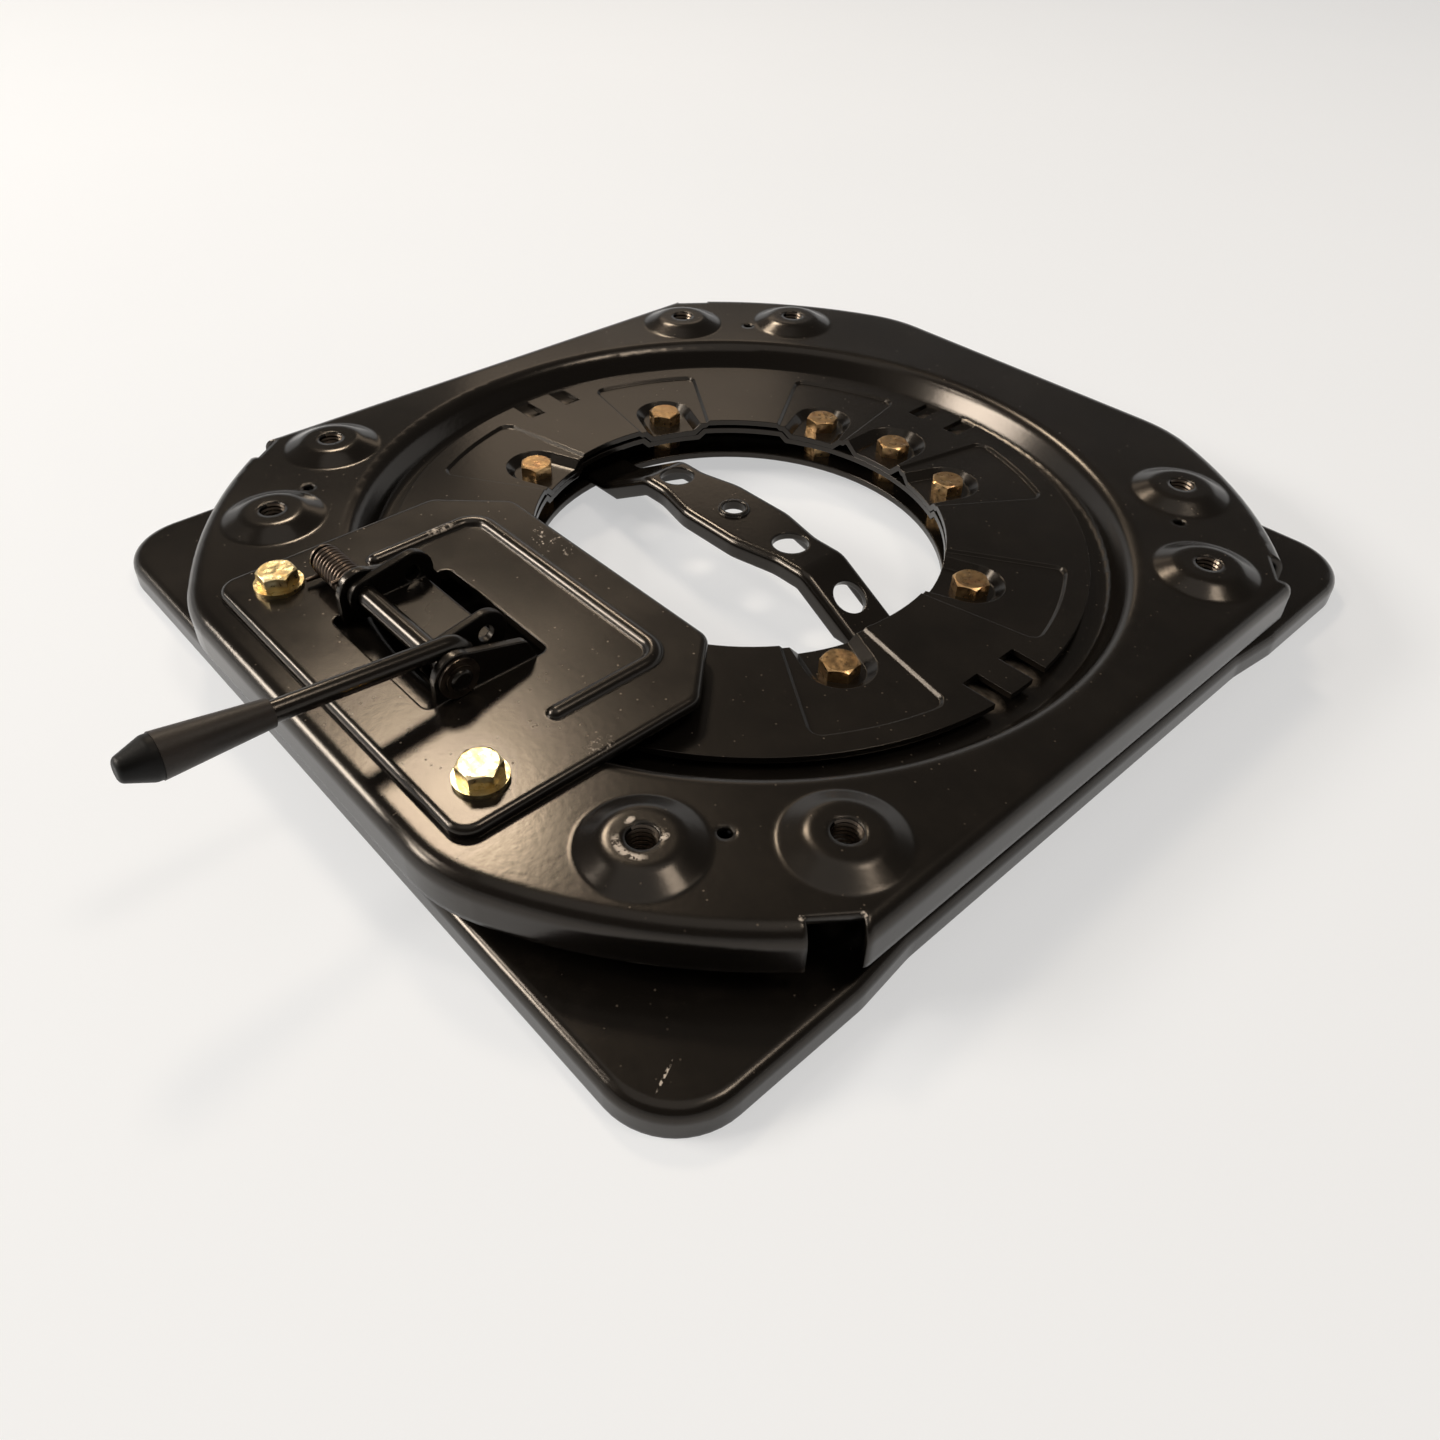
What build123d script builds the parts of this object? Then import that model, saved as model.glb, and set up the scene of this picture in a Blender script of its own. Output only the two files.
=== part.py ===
from build123d import *
import math
import os

# Swivel seat base: a pressed steel plate that carries the seat turns on a base plate bolted to the
# vehicle. Origin on the swivel axis at the foot of the base, +Z up, the latch and its lever on -Y.
# All sizes in millimetres, angles in degrees.

# Sheet gauges
PLATE_GAUGE = 3.0
RING_GAUGE = 2.5
LATCH_GAUGE = 4.0
PAWL_GAUGE = 3.0

# Clearances
AXIAL_PLAY = 0.2
SHAFT_PLAY = 0.05
SEAT_PLAY = 0.02
TOOTH_PLAY = 0.35

# Base plate: a tray with a rolled rim and a raised bearing track
BASE_SIDE_MARGIN = 1.0
BASE_END_SETBACK = 4.5
BASE_CORNER_RADIUS = 26.0
BASE_HEIGHT = 11.0
BASE_EDGE_RADIUS = 4.5
BASE_HOLE_RADIUS = 87.0
SIDE_RECESS_DEPTH = 2.5
SIDE_RECESS_LENGTH = 246.0
SIDE_RECESS_RUN = 24.0
SIDE_RECESS_RADIUS = 30.0
TRACK_INNER_RADIUS = 113.0
TRACK_OUTER_RADIUS = 150.0
TRACK_HEIGHT = 18.0
TRACK_WALL_RUN = 4.0
TRACK_TOP_BEND = 4.0
TRACK_FOOT_BEND = 2.0
PAD_RADIUS = 15.5
PAD_WALL_RUN = 4.0
PAD_RIM_BEND = 4.0
PAD_FLOOR_BEND = 2.0
PAD_HOLE_RADIUS = 5.25

# Fixing patterns, full spacing along X and Y
BASE_PATTERN = (240.0, 280.0)
WIDE_PATTERN = (306.2, 207.8)
NARROW_PATTERN = (231.0, 300.0)
PILOT_PATTERN = (255.4, 257.0)
PILOT_HOLE_RADIUS = 2.5

# Glide rings that the turning flange runs between
GLIDE_INNER_RADIUS = 115.0
LOWER_GLIDE_OUTER_RADIUS = 147.5
UPPER_GLIDE_OUTER_RADIUS = 126.5
LOWER_GLIDE_THICKNESS = 2.0
UPPER_GLIDE_THICKNESS = 1.4
GLIDE_SPLIT = 2.0
GLIDE_SPLIT_ANGLE = 67.5

# Top plate
TOP_HEIGHT = 35.0
TOP_WIDTH = 360.0
TOP_LENGTH = 404.0
TOP_ROUND_SWELL = 16.0
TOP_BLEND_RADIUS = 60.0
TOP_SIDE_CORNER_RADIUS = 5.0
TOP_RIM_HEIGHT = 16.0
TOP_EDGE_RADIUS = 6.0
NOTCH_TURN_ANGLE = 2.4
NOTCH_WIDTH = 16.5
NOTCH_DEPTH = 6.5
RECESS_RADIUS = 158.0
RECESS_WALL_RUN = 7.0
RECESS_LIP_BEND = 7.0
RECESS_FOOT_BEND = 3.0
FLANGE_INNER_RADIUS = 114.5
BOSS_BASE_RADIUS = 20.5
BOSS_TOP_RADIUS = 12.0
BOSS_HEIGHT = 4.0
BOSS_SHOULDER_BEND = 7.0
BOSS_FOOT_BEND = 1.5
BOSS_SKIRT = 0.6
SEAT_THREAD_RADIUS = 5.1
SEAT_NUT_ACROSS_FLATS = 18.0
SEAT_NUT_HEIGHT = 10.0

# Lock ring
RING_INNER_RADIUS = 86.0
RING_OUTER_RADIUS = 143.0
PANEL_STEP = 1.2
PANEL_OUTER_RADIUS = 133.0
PANEL_HALF_ANGLE = 10.8
PANEL_CORNER_RADIUS = 4.0
BOLT_CIRCLE_RADIUS = 99.2
BOLT_STEP_ANGLE = 45.0
EXTRA_BOLT_ANGLE = 90.0
POCKET_RADIUS = 10.0
POCKET_FLOOR = 23.8
POCKET_DRAFT_ANGLE = 45.0
PANEL_DRAFT_ANGLE = 45.0
SLOT_WIDTH = 8.5
SLOT_LENGTH = 17.0
SLOT_CENTRE_RADIUS = 136.5
SLOT_OFFSET = 10.5

# Under ring, clamped below the lock ring and raised between the bolts to follow it
UNDER_RING_OUTER_RADIUS = 112.0
UNDER_RING_GAP = 1.7
UNDER_POCKET_PLAY = 0.8

# Fasteners, M8 throughout
M8_RADIUS = 3.95
M8_HOLE_RADIUS = 4.5
M8_ACROSS_FLATS = 13.0
M8_HEAD_HEIGHT = 5.3
M8_NUT_HEIGHT = 6.5
WASHER_RADIUS = 9.0
WASHER_THICKNESS = 1.6
BOLT_TAIL = 2.0

# Cross strap over the central hole
STRAP_HALF_WIDTH = 12.2
STRAP_MIDDLE_HALF_WIDTH = 16.6
STRAP_MIDDLE_X = (-17.0, 13.0)
STRAP_WAIST_X = (-35.0, 33.0)
STRAP_WAIST_RADIUS = 25.0
STRAP_LIP = 8.0
STRAP_EDGE_RADIUS = 3.2
STRAP_TOP = 31.0
STRAP_HALF_LENGTH = 104.0
STRAP_FOOT_START = 78.0
STRAP_SHOULDER = 48.0
STRAP_BEND_RADIUS = 12.0
STRAP_HOLES = ((-39.5, 7.25), (-3.5, 5.0), (29.7, 7.5))
STRAP_COLLAR_RADIUS = 6.3
STRAP_COLLAR_HEIGHT = 1.2
STRAP_SLOPE_HOLE_RADIUS = 7.25

# Latch plate
LATCH_HALF_WIDTH = 82.0
LATCH_SETBACK = 12.0
LATCH_INNER = -72.0
LATCH_CHAMFER_X = 23.0
LATCH_CHAMFER_Y = 25.0
LATCH_CORNER_RADIUS = 8.0
LATCH_EDGE_RADIUS = 2.5
LATCH_BOLT_X = 65.6
LATCH_BOLT_SHIFT = 3.6
WINDOW_LEFT = -35.0
WINDOW_RIGHT = 29.4
WINDOW_FRONT_ROOM = 12.8
WINDOW_INNER_ROOM = 13.0
WINDOW_CORNER_RADIUS = 4.0
BEAD_HALF_WIDTH = 57.0
BEAD_INNER = -91.0
BEAD_LEG_END = -137.0
BEAD_RADIUS = 3.4
BEAD_SINK = 0.9
BEAD_CORNER_RADIUS = 9.0
LUG_GAUGE = 3.0
LUG_RADIUS = 8.75
LUG_REACH = 7.7
LUG_INNER_HEIGHT = 8.2
LUG_SHOULDER = 3.5

# Latch mechanism, turning about a shaft parallel to X
PIVOT_SHIFT = 3.4
PIVOT_Z = 46.7
SHAFT_RADIUS = 4.0
SHAFT_LEFT = -61.2
SHAFT_RIGHT = 32.6
SHAFT_CHAMFER = 0.8
CLIP_RADIUS = 5.4
CLIP_THICKNESS = 0.8
CLIP_GAP = 0.15
LEFT_CHEEK_X = -31.4
RIGHT_CHEEK_X = 15.2
CHEEK_RADIUS = 6.5
EAR_SETBACK = 4.5
EAR_Z = 48.2
EAR_RADIUS = 8.3
EAR_HOLE_RADIUS = 3.2
WEB_TOP = 44.5
APRON_SHIFT = 4.5
APRON_BOTTOM = 38.0
TOOTH_TIP = 30.3
PIVOT_WASHER_RADIUS = 7.5
PIVOT_WASHER_THICKNESS = 1.2
LEVER_GAP = 0.2
LEVER_RADIUS = 3.6
LEVER_TILT = 6.1
LEVER_CURL = 130.0
LEVER_LENGTH = 91.0
GRIP_START = 59.0
SLEEVE_LENGTH = 33.2
SLEEVE_START_RADIUS = 4.6
SLEEVE_END_RADIUS = 7.3
CAP_LENGTH = 10.9
CAP_END_RADIUS = 3.6
CAP_STEP = 0.3
CAP_SHOULDER = 2.0
CAP_SHOULDER_RADIUS = 4.0
CAP_TIP_RADIUS = 2.0

# Closing spring on the shaft's free end
SPRING_WIRE_RADIUS = 0.85
SPRING_PITCH = 2.0
SPRING_TURNS = 10.5
SPRING_START_GAP = 1.75
SPRING_LEG = 9.0
SPRING_PLAY = 0.35

# Sizes and levels that follow from those above
BASE_WIDTH = TOP_WIDTH + 2 * BASE_SIDE_MARGIN
BASE_LENGTH = TOP_LENGTH - 2 * BASE_END_SETBACK
TOP_ROUND_RADIUS = TOP_LENGTH / 2 + TOP_ROUND_SWELL
NOTCH_ANGLE = math.degrees(math.acos(TOP_WIDTH / 2 / TOP_ROUND_RADIUS)) + NOTCH_TURN_ANGLE
LATCH_FRONT = LATCH_SETBACK - TOP_LENGTH / 2
RECESS_LIP_RADIUS = RECESS_RADIUS + RECESS_LIP_BEND
LAND_INNER = math.sqrt(RECESS_LIP_RADIUS ** 2 - LATCH_BOLT_X ** 2)
LAND_OUTER = TOP_LENGTH / 2 - PLATE_GAUGE
LATCH_BOLT_Y = LATCH_BOLT_SHIFT - (LAND_INNER + LAND_OUTER) / 2
APRON_Y = APRON_SHIFT - SLOT_CENTRE_RADIUS
EAR_Y = APRON_Y - EAR_SETBACK
PIVOT_Y = (LATCH_BOLT_Y + APRON_Y) / 2 - PIVOT_SHIFT
LUG_INNER = APRON_Y + LUG_REACH
WINDOW_FRONT = PIVOT_Y - WINDOW_FRONT_ROOM
WINDOW_INNER = APRON_Y + WINDOW_INNER_ROOM
FLANGE_BOTTOM = TRACK_HEIGHT + LOWER_GLIDE_THICKNESS + AXIAL_PLAY
FLANGE_TOP = FLANGE_BOTTOM + PLATE_GAUGE
PANEL_UNDER = FLANGE_TOP + AXIAL_PLAY + UPPER_GLIDE_THICKNESS
RING_UNDER = PANEL_UNDER + PANEL_STEP
RING_TOP = RING_UNDER + RING_GAUGE
TOP_UNDER = TOP_HEIGHT - PLATE_GAUGE
LATCH_TOP = TOP_HEIGHT + LATCH_GAUGE
POCKET_UNDER = POCKET_FLOOR - RING_GAUGE
POCKET_WALL = RING_GAUGE * math.tan(math.radians(POCKET_DRAFT_ANGLE / 2))
UNDER_RING_TOP = RING_UNDER - UNDER_RING_GAP
UNDER_POCKET_RADIUS = POCKET_RADIUS + POCKET_WALL + UNDER_POCKET_PLAY
SPACER_TOP = POCKET_UNDER - RING_GAUGE
STRAP_FOOT_TOP = BASE_HEIGHT + PLATE_GAUGE
CURL_RADIUS = SHAFT_RADIUS + LEVER_RADIUS + SEAT_PLAY
LEVER_X = RIGHT_CHEEK_X + PAWL_GAUGE + LEVER_GAP + LEVER_RADIUS
BOLT_ANGLES = [BOLT_STEP_ANGLE * (i + 0.5) for i in range(8)] + [EXTRA_BOLT_ANGLE]
BESIDE_EXTRA_BOLT = [EXTRA_BOLT_ANGLE - BOLT_STEP_ANGLE / 4, EXTRA_BOLT_ANGLE + BOLT_STEP_ANGLE / 4]
QUARTERS = [0, 90, 180, 270]
REACH = 500.0


def corners(pattern):
    """The four points of a rectangular pattern given by its full spacings."""
    half_x, half_y = pattern[0] / 2, pattern[1] / 2
    return [(sx * half_x, sy * half_y) for sx in (-1, 1) for sy in (-1, 1)]


def on_bolt_circle(shape):
    """Copies of a shape drawn on the +X axis, one at each ring bolt."""
    return [Rot(0, 0, angle) * shape for angle in BOLT_ANGLES]


def turned(points):
    """A solid of revolution about Z from a closed outline of (radius, height) points."""
    face = make_face(Plane.XZ * Polyline(*points, close=True))
    return revolve(face, Axis.Z)


def parallel_line(points, bends, depth):
    """A bent line moved to its right by a depth, with its bends kept concentric."""
    ways = [(Vector(*end) - Vector(*start)).normalized() for start, end in zip(points, points[1:])]
    sides = [Vector(way.Y, -way.X) for way in ways]
    moved = [Vector(*points[0]) + sides[0] * depth]
    radii = []
    for i, bend in enumerate(bends):
        before, after = sides[i], sides[i + 1]
        moved.append(Vector(*points[i + 1]) + (before + after) * (depth / (1 + before.dot(after))))
        radii.append(bend - depth if ways[i + 1].dot(before) > 0 else bend + depth)
    moved.append(Vector(*points[-1]) + sides[-1] * depth)
    return FilletPolyline(*moved, radius=radii)


def sheet_section(points, bends, top_depth, bottom_depth):
    """The section of a bent sheet between two depths below a line of points, rounded at each bend."""
    upper = parallel_line(points, bends, top_depth)
    lower = parallel_line(points, bends, bottom_depth)
    return make_face(upper + lower + Line(upper @ 0, lower @ 0) + Line(upper @ 1, lower @ 1))


def pressed(points, bends, gauge):
    """A sheet pressed round Z, drawn outwards from its inner edge as (radius, height) points."""
    return revolve(Plane.XZ * sheet_section(points, bends, 0, gauge), Axis.Z)


def tube(outer_radius, inner_radius, bottom, top):
    """A plain ring between two heights."""
    face = Circle(outer_radius) - Circle(inner_radius)
    return extrude(Pos(0, 0, bottom) * face, top - bottom)


def drill(radius, bottom, top):
    """A round bar or cutter between two heights."""
    return extrude(Pos(0, 0, bottom) * Circle(radius), top - bottom)


def hexagon(across_flats, bottom, top, bore_radius=0.0):
    """A hexagon bar with its corners turned down at the top, with or without a bore."""
    corner_radius = across_flats / math.sqrt(3)
    bar = extrude(Pos(0, 0, bottom) * RegularPolygon(corner_radius, 6), top - bottom)
    slope = (corner_radius - across_flats / 2 * 0.95) * math.tan(math.radians(30))
    crown = turned([(0, bottom), (corner_radius, bottom), (corner_radius, top - slope),
                    (across_flats / 2 * 0.95, top), (0, top)])
    bar = bar & crown
    if bore_radius:
        bar -= drill(bore_radius, bottom, top)
    return bar


def base_plate():
    outline = RectangleRounded(BASE_WIDTH, BASE_LENGTH, BASE_CORNER_RADIUS)
    half_width = BASE_WIDTH / 2
    half_recess = SIDE_RECESS_LENGTH / 2
    for side in (-1, 1):
        bite = Polyline(
            (side * (half_width + PLATE_GAUGE), half_recess),
            (side * half_width, half_recess),
            (side * (half_width - SIDE_RECESS_DEPTH), half_recess - SIDE_RECESS_RUN),
            (side * (half_width - SIDE_RECESS_DEPTH), SIDE_RECESS_RUN - half_recess),
            (side * half_width, -half_recess),
            (side * (half_width + PLATE_GAUGE), -half_recess),
            close=True,
        )
        outline -= make_face(bite)
    bends = [v for v in outline.vertices() if abs(v.Y) < half_recess + 1]
    outline = fillet(bends, SIDE_RECESS_RADIUS)
    outer = extrude(outline, BASE_HEIGHT)
    outer = fillet(outer.faces().sort_by(Axis.Z)[-1].edges(), BASE_EDGE_RADIUS)
    inner = extrude(offset(outline, -PLATE_GAUGE), BASE_HEIGHT - PLATE_GAUGE)
    inner = fillet(inner.faces().sort_by(Axis.Z)[-1].edges(), BASE_EDGE_RADIUS - PLATE_GAUGE)
    plate = outer - inner

    # The bearing track is pressed up out of the sheet
    inside = TRACK_INNER_RADIUS - TRACK_WALL_RUN
    outside = TRACK_OUTER_RADIUS + TRACK_WALL_RUN
    plate -= tube(outside + PLATE_GAUGE, inside - PLATE_GAUGE, 0, BASE_HEIGHT)
    plate += pressed(
        [(inside - PLATE_GAUGE, BASE_HEIGHT), (inside, BASE_HEIGHT), (TRACK_INNER_RADIUS, TRACK_HEIGHT),
         (TRACK_OUTER_RADIUS, TRACK_HEIGHT), (outside, BASE_HEIGHT), (outside + PLATE_GAUGE, BASE_HEIGHT)],
        [TRACK_FOOT_BEND, TRACK_TOP_BEND, TRACK_TOP_BEND, TRACK_FOOT_BEND], PLATE_GAUGE)
    plate -= drill(BASE_HOLE_RADIUS, 0, BASE_HEIGHT)

    # Four pads are pressed down to the floor round the mounting holes
    rim = PAD_RADIUS + PAD_WALL_RUN
    pad = pressed(
        [(PAD_HOLE_RADIUS, PLATE_GAUGE), (PAD_RADIUS, PLATE_GAUGE), (rim, BASE_HEIGHT),
         (rim + PLATE_GAUGE, BASE_HEIGHT)],
        [PAD_FLOOR_BEND, PAD_RIM_BEND], PLATE_GAUGE)
    for x, y in corners(BASE_PATTERN):
        plate -= Pos(x, y, 0) * drill(rim + PLATE_GAUGE, 0, BASE_HEIGHT)
        plate += Pos(x, y, 0) * pad
    for hole in on_bolt_circle(Pos(BOLT_CIRCLE_RADIUS, 0, 0) * drill(M8_HOLE_RADIUS, 0, BASE_HEIGHT)):
        plate -= hole
    return plate


def glide_ring(outer_radius, bottom, thickness):
    """A flat plastic ring, split at one place so that it can be sprung in and can swell."""
    ring = tube(outer_radius, GLIDE_INNER_RADIUS, bottom, bottom + thickness)
    ring -= Pos(GLIDE_INNER_RADIUS, 0, bottom) * Box(2 * GLIDE_INNER_RADIUS, GLIDE_SPLIT, 4 * thickness)
    return Rot(0, 0, GLIDE_SPLIT_ANGLE) * ring


def lower_glide_ring():
    return glide_ring(LOWER_GLIDE_OUTER_RADIUS, TRACK_HEIGHT, LOWER_GLIDE_THICKNESS)


def upper_glide_ring():
    return glide_ring(UPPER_GLIDE_OUTER_RADIUS, FLANGE_TOP + AXIAL_PLAY, UPPER_GLIDE_THICKNESS)


def panel_face():
    """One lowered panel of the ring: a sector on the +X axis with rounded outer corners."""
    half = math.radians(PANEL_HALF_ANGLE)
    wedge = make_face(Polyline(
        (0, 0), (REACH * math.cos(half), REACH * math.sin(half)),
        (REACH * math.cos(half), -REACH * math.sin(half)), close=True))
    sector = (Circle(PANEL_OUTER_RADIUS) - Circle(RING_INNER_RADIUS - RING_GAUGE)) & wedge
    outer_corners = sector.vertices().sort_by(Axis.X)[-2:]
    return fillet(outer_corners, PANEL_CORNER_RADIUS)


def pocket_face(radius):
    """A bolt pocket: round at its outer end and open towards the hole."""
    tongue = BOLT_CIRCLE_RADIUS - RING_INNER_RADIUS + POCKET_RADIUS
    straight = Pos(BOLT_CIRCLE_RADIUS - tongue / 2, 0) * Rectangle(tongue, 2 * radius)
    return Pos(BOLT_CIRCLE_RADIUS, 0) * Circle(radius) + straight


def flared(face, bottom, top):
    """A pocket's face drawn up between two heights, widening with the pockets' draft."""
    return extrude(Pos(0, 0, bottom) * face, top - bottom, taper=-POCKET_DRAFT_ANGLE)


def lock_ring():
    ring = tube(RING_OUTER_RADIUS, RING_INNER_RADIUS, RING_UNDER, RING_TOP)
    panel = panel_face()
    step_under = extrude(Pos(0, 0, PANEL_UNDER) * panel, PANEL_STEP, taper=-PANEL_DRAFT_ANGLE)
    step_above = extrude(Pos(0, 0, RING_TOP - PANEL_STEP) * panel, PANEL_STEP, taper=-PANEL_DRAFT_ANGLE)
    for angle in BOLT_ANGLES[:-1]:
        ring += Rot(0, 0, angle) * step_under
    for angle in BOLT_ANGLES[:-1]:
        ring -= Rot(0, 0, angle) * step_above

    # Pockets: each is a cup of sheet round its bolt
    cup = flared(pocket_face(POCKET_RADIUS + POCKET_WALL), POCKET_UNDER, RING_UNDER)
    hollow = flared(pocket_face(POCKET_RADIUS), POCKET_FLOOR, RING_TOP)
    hole = Pos(BOLT_CIRCLE_RADIUS, 0, 0) * drill(M8_HOLE_RADIUS, 0, RING_TOP)
    for shape in on_bolt_circle(cup):
        ring += shape
    for shape in on_bolt_circle(hollow) + on_bolt_circle(hole):
        ring -= shape
    ring -= drill(RING_INNER_RADIUS, 0, TOP_HEIGHT)

    slot = Pos(SLOT_CENTRE_RADIUS, 0, RING_TOP) * Box(SLOT_LENGTH, SLOT_WIDTH, 4 * RING_GAUGE)
    for quarter in QUARTERS:
        for offset_y in (-SLOT_OFFSET, SLOT_OFFSET):
            ring -= Rot(0, 0, quarter) * (Pos(0, offset_y, 0) * slot)
    return ring


def under_ring():
    """The lock ring's partner: its pockets carry the ring's, and run into one beside the extra bolt."""
    bottom = UNDER_RING_TOP - RING_GAUGE
    ring = tube(UNDER_RING_OUTER_RADIUS, RING_INNER_RADIUS, bottom, UNDER_RING_TOP)
    cup = flared(pocket_face(UNDER_POCKET_RADIUS + POCKET_WALL), SPACER_TOP, bottom)
    hollow = flared(pocket_face(UNDER_POCKET_RADIUS), POCKET_UNDER, UNDER_RING_TOP)
    angles = BOLT_ANGLES + BESIDE_EXTRA_BOLT
    for angle in angles:
        ring += Rot(0, 0, angle) * cup
    for angle in angles:
        ring -= Rot(0, 0, angle) * hollow
    for hole in on_bolt_circle(Pos(BOLT_CIRCLE_RADIUS, 0, 0) * drill(M8_HOLE_RADIUS, 0, RING_TOP)):
        ring -= hole
    return ring & tube(UNDER_RING_OUTER_RADIUS, RING_INNER_RADIUS, 0, RING_TOP)


def hex_bolt(seat, tip):
    """An M8 hexagon bolt, its head standing on the seat level and its shank reaching down to the tip."""
    return hexagon(M8_ACROSS_FLATS, seat, seat + M8_HEAD_HEIGHT) + drill(M8_RADIUS, tip, seat)


def ring_bolts():
    bolt = hex_bolt(POCKET_FLOOR, BASE_HEIGHT - PLATE_GAUGE - BOLT_TAIL)
    return Compound(children=on_bolt_circle(Pos(BOLT_CIRCLE_RADIUS, 0, 0) * bolt))


def spacer_nuts():
    nut = hexagon(M8_ACROSS_FLATS, BASE_HEIGHT, SPACER_TOP, M8_RADIUS + SEAT_PLAY)
    return Compound(children=on_bolt_circle(Pos(BOLT_CIRCLE_RADIUS, 0, 0) * nut))


def strap_outline():
    """The strap in plan: waisted on both sides of its wider middle."""
    upper = [(-STRAP_HALF_LENGTH, STRAP_HALF_WIDTH), (STRAP_WAIST_X[0], STRAP_HALF_WIDTH),
             (STRAP_MIDDLE_X[0], STRAP_MIDDLE_HALF_WIDTH), (STRAP_MIDDLE_X[1], STRAP_MIDDLE_HALF_WIDTH),
             (STRAP_WAIST_X[1], STRAP_HALF_WIDTH), (STRAP_HALF_LENGTH, STRAP_HALF_WIDTH)]
    lower = [(x, -y) for x, y in reversed(upper)]
    outline = make_face(Polyline(*upper, *lower, close=True))
    bends = [v for v in outline.vertices() if abs(v.X) < STRAP_HALF_LENGTH - 1]
    return fillet(bends, STRAP_WAIST_RADIUS)


def strap_arch(top_depth, bottom_depth):
    """A band across Y that follows the strap's arch between two depths below its upper face."""
    line = [
        (-STRAP_HALF_LENGTH, STRAP_FOOT_TOP), (-STRAP_FOOT_START, STRAP_FOOT_TOP), (-STRAP_SHOULDER, STRAP_TOP),
        (STRAP_SHOULDER, STRAP_TOP), (STRAP_FOOT_START, STRAP_FOOT_TOP), (STRAP_HALF_LENGTH, STRAP_FOOT_TOP)]
    band = sheet_section(line, [STRAP_BEND_RADIUS] * 4, top_depth, bottom_depth)
    return extrude(Plane.XZ * band, STRAP_MIDDLE_HALF_WIDTH, both=True)


def cross_strap():
    outline = strap_outline()
    strap = strap_arch(0, STRAP_LIP) & extrude(outline, REACH)
    tops = [f for f in strap.faces() if f.normal_at().Z > 0.3]
    walls = [e for f in strap.faces() if abs(f.normal_at().Y) > 0.7 for e in f.edges()]
    strap = fillet([e for f in tops for e in f.edges() if e in walls], STRAP_EDGE_RADIUS)
    strap -= strap_arch(PLATE_GAUGE, STRAP_LIP + PLATE_GAUGE) & extrude(offset(outline, -PLATE_GAUGE), REACH)

    # The feet lie flat on the base plate, so the lips end at its surface
    strap &= Pos(0, 0, BASE_HEIGHT + REACH / 2) * Box(REACH, REACH, REACH)
    for x, radius in STRAP_HOLES:
        strap -= Pos(x, 0, 0) * drill(radius, BASE_HEIGHT, STRAP_TOP + 1)
    collar_x, collar_bore = STRAP_HOLES[1]
    collar = tube(STRAP_COLLAR_RADIUS, collar_bore, STRAP_TOP - PLATE_GAUGE, STRAP_TOP + STRAP_COLLAR_HEIGHT)
    strap += Pos(collar_x, 0, 0) * collar
    slope_x = (STRAP_FOOT_START + STRAP_SHOULDER) / 2
    slope_z = (STRAP_TOP + STRAP_FOOT_TOP) / 2
    slope = math.degrees(math.atan2(STRAP_TOP - STRAP_FOOT_TOP, STRAP_FOOT_START - STRAP_SHOULDER))
    strap -= Pos(slope_x, 0, slope_z) * Rot(0, slope, 0) * Cylinder(STRAP_SLOPE_HOLE_RADIUS, 4 * PLATE_GAUGE)
    return strap


def top_outline():
    outline = Circle(TOP_ROUND_RADIUS) & Rectangle(TOP_WIDTH, TOP_LENGTH)
    ends = [v for v in outline.vertices() if abs(v.Y) > TOP_LENGTH / 2 - 1]
    outline = fillet(ends, TOP_BLEND_RADIUS)
    side = [v for v in outline.vertices() if abs(v.X) > TOP_WIDTH / 2 - 1]
    return fillet(side, TOP_SIDE_CORNER_RADIUS)


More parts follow.
